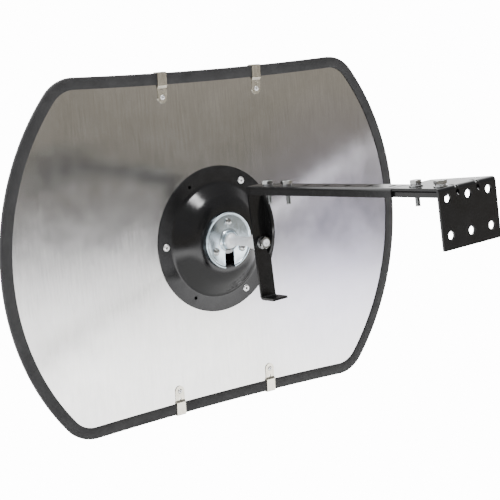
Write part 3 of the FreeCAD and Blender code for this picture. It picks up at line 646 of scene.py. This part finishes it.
def face_rings(back):
    """Rings from the face's flat edge to near its middle, moved back by some distance."""
    level = LENS_FRONT - back
    rings = [rim_ring(LENS_EDGE_INSET, level), rim_ring(LENS_FLAT_INSET, level)]
    for step in range(FACE_RINGS):
        scale = 1 - step / FACE_RINGS
        ring = []
        for point in outline(LENS_DOME_INSET):
            x, z = point.x * scale, point.y * scale
            ring.append(Vector((x, level + face_height(x, z), z)))
        rings.append(ring)
    return rings


front = face_rings(0.0)
rear = face_rings(LENS_SHEET)
lens = skin(list(reversed(front)) + rear, False, MIRROR)
finish_piece(mesh_object("convex_face", lens, sharp=50), "mirror", "mirror_lens", "mirror_face")

# ---- Mounting dome, cap and socket ------------------------------------------------------------------


def ring_spots(radius, angles, y):
    """Spots on a circle about the mirror's middle, at angles in degrees."""
    spots = []
    for degrees in angles:
        angle = math.radians(degrees)
        spots.append(Vector((radius * math.cos(angle), y, radius * math.sin(angle))))
    return spots


def drill(spots, radius, length):
    """Round cutters towards the viewer's side from spots in the mirror's frame."""
    mesh = bmesh.new()
    for spot in spots:
        place = MIRROR @ along(spot, TO_MIRROR)
        turned([(radius, 0.0), (radius, length)], DRILL_STEPS, False, place, mesh)
    return mesh


# The dome's outer face from flange to middle as (radius, Y), and the radii of its four bends
DOME_LINE = [(97.5, 0.4), (75.5, 0.4), (50.5, -18.0), (33.0, -18.0), (31.8, -3.5), (0.02, -3.5)]
DOME_BENDS = [9.0, 40.0, 1.5, 1.5]
dome_profile = sheet_profile(DOME_LINE, DOME_BENDS, -DOME_SHEET)
dome = mesh_object("pressed_dome", turned(dome_profile, DOME_STEPS, True, ABOUT_Y), sharp=40)
flange_spots = ring_spots(DOME_HOLE_CIRCLE, range(0, 360, 60), -1.5)
cut(dome, drill(flange_spots, DOME_HOLE_RADIUS, 4.0), sharp=40)
well_spots = ring_spots(CAP_SCREW_CIRCLE, CAP_SCREW_ANGLES, -5.5)
cut(dome, drill(well_spots, CAP_SCREW_HOLE, 4.0), sharp=40)
finish_piece(dome, "mirror", "mounting_dome", "black_paint")

# Section of the cap as (radius, Y): collar, dish, groove and rolled bead, then back along the inside
CAP_SECTION = [
    (10.85, -28.1), (11.05, -28.38), (11.35, -28.38), (11.6, -28.1), (12.2, -26.1), (12.6, -24.9),
    (13.15, -23.7), (14.0, -22.75), (15.1, -22.15), (16.5, -22.0), (32.6, -22.0), (33.3, -21.7),
    (34.0, -21.7), (34.5, -22.3), (35.2, -22.9), (36.1, -23.1), (36.9, -22.9), (37.4, -22.3),
    (37.5, -21.5), (37.5, -18.1),
    (36.0, -18.1), (36.0, -20.5), (13.5, -20.5), (13.5, -22.3), (11.3, -22.5), (11.15, -24.3),
    (10.75, -26.1), (10.45, -27.4),
]
# The slot for extra swing as (X, Z), cut between two values of Y
CAP_SLOT = [(-6.8, 0), (6.8, 0), (7.9, -42.5), (-7.9, -42.5)]
CAP_SLOT_Y = (-38.0, -17.0)
cap = mesh_object("socket_cap_shell", turned(CAP_SECTION, CAP_STEPS, True, ABOUT_Y), sharp=30)
slot_rings = [[Vector((x, y, z)) for x, z in CAP_SLOT] for y in CAP_SLOT_Y]
cut(cap, skin(slot_rings, False, MIRROR), sharp=30)
cap_spots = ring_spots(CAP_SCREW_CIRCLE, CAP_SCREW_ANGLES, CAP_TOP - 2.0)
cut(cap, drill(cap_spots, CAP_SCREW_HOLE, 6.0), sharp=30)
soften(cap, 0.25, from_angle=50)
finish_piece(cap, "mirror", "socket_cap", "zinc_cap")

# A cap screw's crowned head as (radius, height), from its crown down to its seat
SCREW_CROWN = [
    (0.05, -2.5), (1.8, -2.5), (3.4, -2.35), (4.5, -1.9), (5.1, -1.2), (5.25, -0.5), (5.2, 0.0),
]
screws = bmesh.new()
for spot in ring_spots(CAP_SCREW_CIRCLE, CAP_SCREW_ANGLES, CAP_TOP):
    rings = circles(SCREW_CROWN + [(CAP_SCREW_RADIUS, 0.0)], SMALL_STEPS)
    rings += thread(CAP_SCREW_RADIUS, CAP_SCREW_PITCH, *CAP_SCREW_THREAD, SMALL_STEPS)
    skin(rings, False, MIRROR @ along(spot, TO_MIRROR), screws)
cap_screws = mesh_object("cap_screws_turned", screws)

# The cross recess: how far its arms reach, half their width, and its taper towards the bottom
CROSS_REACH = 2.7
CROSS_HALF = 0.55
CROSS_TAPER = 0.75
CROSS_LENGTH = 2.3
CROSS_START = 3.2
CROSS_TURN = 35
CROSS = [
    (CROSS_REACH, CROSS_HALF), (CROSS_HALF, CROSS_HALF), (CROSS_HALF, CROSS_REACH),
    (-CROSS_HALF, CROSS_REACH), (-CROSS_HALF, CROSS_HALF), (-CROSS_REACH, CROSS_HALF),
    (-CROSS_REACH, -CROSS_HALF), (-CROSS_HALF, -CROSS_HALF), (-CROSS_HALF, -CROSS_REACH),
    (CROSS_HALF, -CROSS_REACH), (CROSS_HALF, -CROSS_HALF), (CROSS_REACH, -CROSS_HALF),
]
recess = bmesh.new()
cross_spots = ring_spots(CAP_SCREW_CIRCLE, CAP_SCREW_ANGLES, CAP_TOP - CROSS_START)
for angle, spot in zip(CAP_SCREW_ANGLES, cross_spots):
    spin = Matrix.Rotation(math.radians(CROSS_TURN + angle), 4, "Y")
    wide = [Vector((x, 0, z)) for x, z in CROSS]
    narrow = [Vector((x * CROSS_TAPER, CROSS_LENGTH, z * CROSS_TAPER)) for x, z in CROSS]
    skin([wide, narrow], False, MIRROR @ Matrix.Translation(spot) @ spin, recess)
cut(cap_screws, recess)
finish_piece(cap_screws, "mirror", "cap_screws", "zinc_steel")

# ---- Rivets -------------------------------------------------------------------------------------------


def rivets(name, spots, head_radius, head_height, shank, bore, grip):
    """Hollow rivets with a rolled head at each spot and a spread tail beyond the grip."""
    tail = shank * 1.3
    mesh = bmesh.new()
    profile = [
        (bore, grip), (bore, -head_height * 0.72), (bore * 1.18, -head_height * 0.95),
        (bore * 1.5, -head_height), (head_radius * 0.62, -head_height),
        (head_radius * 0.86, -head_height * 0.78), (head_radius * 0.97, -head_height * 0.42),
        (head_radius, -head_height * 0.12), (head_radius * 0.98, 0.0), (shank, 0.0), (shank, grip),
        (tail, grip + 0.4), (tail, grip + 1.6), (bore, grip + 1.9),
    ]
    for spot in spots:
        turned(profile, SMALL_STEPS, True, MIRROR @ along(spot, TO_MIRROR), mesh)
    return mesh_object(name, mesh, sharp=40)


clip_spots = []
for x in (-CLIP_RIVET_X, CLIP_RIVET_X):
    for z in (CLIP_RIVET_Z, -CLIP_RIVET_Z):
        clip_spots.append(Vector((x, CLIP_RIVET_SEAT, z)))
clip_rivets = rivets(
    "clip_rivets_pressed", clip_spots, head_radius=3.4, head_height=1.1, shank=1.6, bore=0.8, grip=1.8)
finish_piece(clip_rivets, "mirror", "clip_rivets", "rivet_metal")
dome_spots = ring_spots(DOME_HOLE_CIRCLE, (60, 180, 300), DOME_RIVET_SEAT)
dome_rivets = rivets(
    "dome_rivets_pressed", dome_spots, head_radius=5.0, head_height=1.5, shank=2.3, bore=1.5, grip=2.0)
finish_piece(dome_rivets, "mirror", "dome_rivets", "rivet_metal")

# ---- Stud, washers, screws and nuts -------------------------------------------------------------------

# A chamfer starts just inside the flats and ends just past the corners
CHAMFER_RINGS = 6
CHAMFER_SLOPE = 0.6
CHAMFER_MARGIN = 0.15
SINK_DEPTH = 0.5
SINK_WIDTH = 0.6
BALL_STEPS = 30
CONE_STEPS = 8
SPLIT_STEPS = 56


def hex_rings(flats, low, high, low_chamfer):
    """Rings up a hexagon with its corners turned down at the top and, if asked, at the bottom."""
    depth = flats / math.sqrt(3) - flats / 2 + 2 * CHAMFER_MARGIN
    rise = depth * CHAMFER_SLOPE / CHAMFER_RINGS

    def turned_down(step, height):
        limit = flats / 2 - CHAMFER_MARGIN + depth * step / CHAMFER_RINGS
        return circle(hexagon(flats, limit), height)

    rings = []
    if low_chamfer:
        for step in range(CHAMFER_RINGS):
            rings.append(turned_down(step, low + rise * step))
    else:
        rings.append(circle(hexagon(flats), low))
    for step in range(CHAMFER_RINGS, -1, -1):
        rings.append(turned_down(step, high - rise * step))
    return rings


def hex_nut(flats, bore, height, place, into):
    """A chamfered hexagon nut with a countersunk bore."""
    rings = circles([(bore, SINK_DEPTH), (bore + SINK_WIDTH, 0.0)])
    rings += hex_rings(flats, 0.0, height, True)
    rings += circles([(bore + SINK_WIDTH, height), (bore, height - SINK_DEPTH)])
    skin(rings, True, place, into)


def washer_section(outer, bore, sheet, edge):
    """A washer's section as (radius, height), its corners taken off by an edge."""
    return [
        (bore, edge), (bore + edge, 0.0), (outer - edge, 0.0), (outer, edge), (outer, sheet - edge),
        (outer - edge, sheet), (bore + edge, sheet), (bore, sheet - edge),
    ]


def split_washer(outer, bore, sheet, place, into):
    """A spring lock washer: a washer with a gap, as flat as it lies under its nut."""
    gap = 0.10
    rings = []
    for step in range(SPLIT_STEPS + 1):
        angle = gap + (TAU - 2 * gap) * step / SPLIT_STEPS
        across = Vector((math.cos(angle), math.sin(angle), 0))
        section = washer_section(outer, bore, sheet, edge=0.18)
        rings.append([across * radius + Vector((0, 0, height)) for radius, height in section])
    skin(rings, False, place, into)


def flat_washer(outer, bore, sheet, place, into):
    turned(washer_section(outer, bore, sheet, edge=0.2), WASHER_STEPS, True, place, into)


def stud_rings():
    """Rings from the ball's far pole to the stud's threaded end, by distance towards the wall."""
    neck = math.sqrt(BALL_RADIUS ** 2 - SHANK_RADIUS ** 2)
    rings = []
    for step in range(1, BALL_STEPS):
        angle = math.pi * step / BALL_STEPS
        distance = -BALL_RADIUS * math.cos(angle)
        if distance < neck - NECK_GAP:
            rings.append(circle(BALL_RADIUS * math.sin(angle), distance))
    rings += circles([
        (SHANK_RADIUS + NECK_FILLET, neck - 0.1), (SHANK_RADIUS, neck + NECK_GAP),
        (SHANK_RADIUS, SHANK_MIDDLE),
        (SHANK_RADIUS, SHOULDER_CONE_START - 0.4), (SHANK_RADIUS + 0.1, SHOULDER_CONE_START),
    ])
    for step in range(1, CONE_STEPS + 1):
        reach = SHANK_RADIUS + (SHOULDER_CONE_RADIUS - SHANK_RADIUS) * step / CONE_STEPS
        distance = SHOULDER_CONE_START + SHOULDER_CONE_LENGTH * step / CONE_STEPS
        rings.append(circle(hexagon(SHOULDER_FLATS, reach), distance))
    rings.append(circle(hexagon(SHOULDER_FLATS), SHOULDER_START))
    rings.append(circle(hexagon(SHOULDER_FLATS), SHOULDER_END - 0.5))
    rings.append(circle(hexagon(SHOULDER_FLATS, SHOULDER_END_RADIUS), SHOULDER_END))
    rings.append(circle(STUD_THREAD_RADIUS - 0.15, SHOULDER_END))
    rings += thread(
        STUD_THREAD_RADIUS, STUD_THREAD_PITCH, STUD_THREAD_START, STUD_THREAD_END, ROUND_STEPS)
    rings += circles(STUD_DIMPLE)
    return rings


stud = mesh_object("ball_stud_turned", skin(stud_rings(), False, along_stud(0.0)), sharp=28)
finish_piece(stud, "stud", "ball_stud", "bright_zinc")

mesh = bmesh.new()
flat_washer(STUD_WASHER_RADIUS, STUD_BORE, STUD_WASHER_SHEET, along_stud(STUD_WASHER_START), mesh)
finish_piece(mesh_object("stud_washer", mesh), "stud", "stud_flat_washer", "zinc_steel")
mesh = bmesh.new()
split_washer(STUD_SPRING_RADIUS, STUD_BORE, STUD_SPRING_SHEET, along_stud(STUD_SPRING_START), mesh)
finish_piece(mesh_object("stud_spring_washer", mesh), "stud", "stud_lock_washer", "spring_steel")
mesh = bmesh.new()
hex_nut(STUD_NUT_FLATS, STUD_NUT_BORE, STUD_NUT_HEIGHT, along_stud(STUD_NUT_START), mesh)
finish_piece(mesh_object("stud_nut_hex", mesh, sharp=25), "stud", "stud_nut", "zinc_steel")


def bolt_rings():
    """Rings up a hex screw from its tip to the hollow in its head, by height above its seat."""
    rings = thread(BOLT_RADIUS, BOLT_PITCH, BOLT_TIP, BOLT_THREAD_TOP, ROUND_STEPS)
    rings += circles([
        (BOLT_RADIUS, BOLT_THREAD_TOP + 0.4), (BOLT_RADIUS, -0.05), (BOLT_FACE_RADIUS, 0.0),
    ])
    rings += hex_rings(BOLT_HEAD_FLATS, BOLT_HEAD_START, BOLT_HEAD_HEIGHT, False)
    rings += circles(BOLT_HOLLOW)
    return rings


def screw_row(prefix, rows, with_flat):
    """The upright quarter-inch screws of one joint: washers, bolts with threads and nuts."""
    finishes = {"bolts": "zinc_steel", "nuts": "zinc_steel", "lock_washers": "spring_steel"}
    if with_flat:
        finishes["flat_washers"] = "zinc_steel"
    parts = {kind: bmesh.new() for kind in finishes}
    for number, y in enumerate(rows):
        level = PLATE_TOP
        spin = Matrix.Rotation(math.radians(SCREW_TURN + SCREW_TURN_STEP * number), 4, "Z")
        if with_flat:
            place = along((ARM_X, y, level), UP)
            flat_washer(BOLT_WASHER_RADIUS, BOLT_BORE, BOLT_WASHER_SHEET, place, parts["flat_washers"])
            level += BOLT_WASHER_SHEET
        place = along((ARM_X, y, level), UP) @ spin
        split_washer(BOLT_SPRING_RADIUS, BOLT_BORE, BOLT_SPRING_SHEET, place, parts["lock_washers"])
        level += BOLT_SPRING_SHEET
        skin(bolt_rings(), False, along((ARM_X, y, level), UP) @ spin, parts["bolts"])
        under = along((ARM_X, y, ARM_UNDER - BOLT_NUT_HEIGHT), UP) @ spin
        hex_nut(BOLT_NUT_FLATS, BOLT_NUT_BORE, BOLT_NUT_HEIGHT, under, parts["nuts"])
    for kind, mesh in parts.items():
        piece = mesh_object(prefix + "_" + kind + "_detailed", mesh, sharp=25)
        finish_piece(piece, "bracket", prefix + "_" + kind, finishes[kind])


screw_row("wall_bracket", WALL_BRACKET_ROWS, True)
screw_row("drop_bar", DROP_BAR_ROWS, False)

# ---- Bent sheets ----------------------------------------------------------------------------------------

for node, edge in (("wall_bracket", 0.45), ("arm_channel", 0.4), ("drop_bar", 0.5)):
    finish_piece(from_cad(node, edge), "bracket", node, "black_paint")
for corner in ("top_left", "top_right", "bottom_left", "bottom_right"):
    node = "edge_clip_" + corner
    finish_piece(from_cad(node, 0.16), "mirror", node, "nickel_clip")

# ---- Floor, light and camera ------------------------------------------------------------------------------

FLOOR_RADIUS = 1200.0
FLOOR_LEVEL = -900.0
FLOOR_MIDDLE = (0, 200, 0)
floor_profile = [(FLOOR_RADIUS, FLOOR_LEVEL - 1.0), (FLOOR_RADIUS, FLOOR_LEVEL)]
floor_mesh = turned(floor_profile, ROUND_STEPS, False, Matrix.Translation(FLOOR_MIDDLE))
floor = mesh_object("floor", floor_mesh)
pale = Shader("floor_pale", metal=0.0)
pale.base(pale.ramp(pale.noise(scale=3, detail=3), [(0.3, (0.80, 0.80, 0.79)), (0.7, (0.84, 0.84, 0.83))]))
pale.rough(pale.spread(pale.noise(scale=12, detail=3), 0.55, 0.7))
floor.data.materials.append(pale.material)

# The studio's brightness by direction: rows of a direction's Z, or Y, and a grey or a colour.
# The near side, behind the mirror, is bright low down and dark from a little below the horizon.
NEAR_SIDE = [
    (-1.0, 0.06), (-0.58, 0.08), (-0.47, 0.31), (-0.37, 1.0), (-0.30, 0.84),
    (-0.270, (0.58, 0.575, 0.60)), (-0.253, (0.085, 0.083, 0.088)), (-0.238, (0.020, 0.020, 0.022)),
    (-0.18, (0.056, 0.052, 0.045)), (-0.12, (0.080, 0.073, 0.062)),
    (0.0, (0.072, 0.068, 0.062)), (0.25, 0.055), (0.6, 0.05), (1.0, 0.16),
]
FAR_SIDE = [(-1.0, 0.35), (-0.35, 0.52), (-0.09, 0.34), (0.0, 0.20), (0.05, 0.38), (0.3, 0.44), (1.0, 0.60)]
FAR_SHARE = [(-1.0, 0.0), (-0.15, 0.0), (0.25, 1.0), (1.0, 1.0)]
STUDIO_STRENGTH = 6.0
BACKDROP_STRENGTH = 14.0


def studio_world():
    """Light from all round, with a plain white backdrop where the camera looks past the part."""
    world = bpy.data.worlds.new("studio")
    bpy.context.scene.world = world
    world.use_nodes = True
    nodes = world.node_tree.nodes
    link = world.node_tree.links.new
    nodes.clear()
    direction = nodes.new("ShaderNodeSeparateXYZ")
    link(nodes.new("ShaderNodeTexCoord").outputs["Generated"], direction.inputs["Vector"])

    def by_direction(axis, rows):
        """A colour that depends on one part of the direction, from -1 to 1."""
        shift = nodes.new("ShaderNodeMapRange")
        shift.inputs["From Min"].default_value = -1
        shift.inputs["From Max"].default_value = 1
        link(direction.outputs[axis], shift.inputs["Value"])
        made = nodes.new("ShaderNodeValToRGB")
        set_stops(made.color_ramp, [((position + 1) / 2, value) for position, value in rows])
        link(shift.outputs["Result"], made.inputs["Fac"])
        return made.outputs["Color"]

    around = nodes.new("ShaderNodeMix")
    around.data_type = "RGBA"
    link(by_direction("Y", FAR_SHARE), around.inputs[MIX_FACTOR])
    link(by_direction("Z", NEAR_SIDE), around.inputs[MIX_FIRST])
    link(by_direction("Z", FAR_SIDE), around.inputs[MIX_SECOND])
    studio = nodes.new("ShaderNodeBackground")
    studio.inputs["Strength"].default_value = STUDIO_STRENGTH
    link(around.outputs[MIX_RESULT], studio.inputs["Color"])
    backdrop = nodes.new("ShaderNodeBackground")
    backdrop.inputs["Color"].default_value = (1, 1, 1, 1)
    backdrop.inputs["Strength"].default_value = BACKDROP_STRENGTH
    path = nodes.new("ShaderNodeLightPath")
    chosen = nodes.new("ShaderNodeMixShader")
    link(path.outputs["Is Camera Ray"], chosen.inputs[0])
    link(studio.outputs["Background"], chosen.inputs[1])
    link(backdrop.outputs["Background"], chosen.inputs[2])
    link(chosen.outputs["Shader"], nodes.new("ShaderNodeOutputWorld").inputs["Surface"])


studio_world()


def softbox(name, spot, target, size, power, colour=(1, 1, 1)):
    """A round soft light in metres and watts that faces a target."""
    light = bpy.data.lights.new(name, "AREA")
    light.shape = "DISK"
    light.size = size
    light.energy = power
    light.color = colour
    holder = bpy.data.objects.new(name, light)
    bpy.context.scene.collection.objects.link(holder)
    holder.location = spot
    holder.rotation_euler = (Vector(target) - Vector(spot)).to_track_quat("-Z", "Y").to_euler()


softbox("key", (-0.02, -0.50, 1.02), (-0.03, 0.40, -0.02), size=0.34, power=13.0)
softbox("fill", (-1.9, -0.6, -0.1), (0.0, 0.35, 0.0), size=1.2, power=6.0, colour=(0.93, 0.96, 1.0))
softbox("top", (0.3, 0.1, 1.6), (0.0, 0.3, 0.0), size=1.0, power=5.0)

CAMERA_SPOT = (-1.0933, -1.0755, 0.2171)
CAMERA_DEGREES = (81.382, 7.305, -37.446)
camera_data = bpy.data.cameras.new("camera")
camera_data.lens = 101.1
camera_data.sensor_width = 36.0
camera = bpy.data.objects.new("camera", camera_data)
bpy.context.scene.collection.objects.link(camera)
camera.location = CAMERA_SPOT
camera.rotation_euler = Euler([math.radians(angle) for angle in CAMERA_DEGREES], "XYZ")
bpy.context.scene.camera = camera
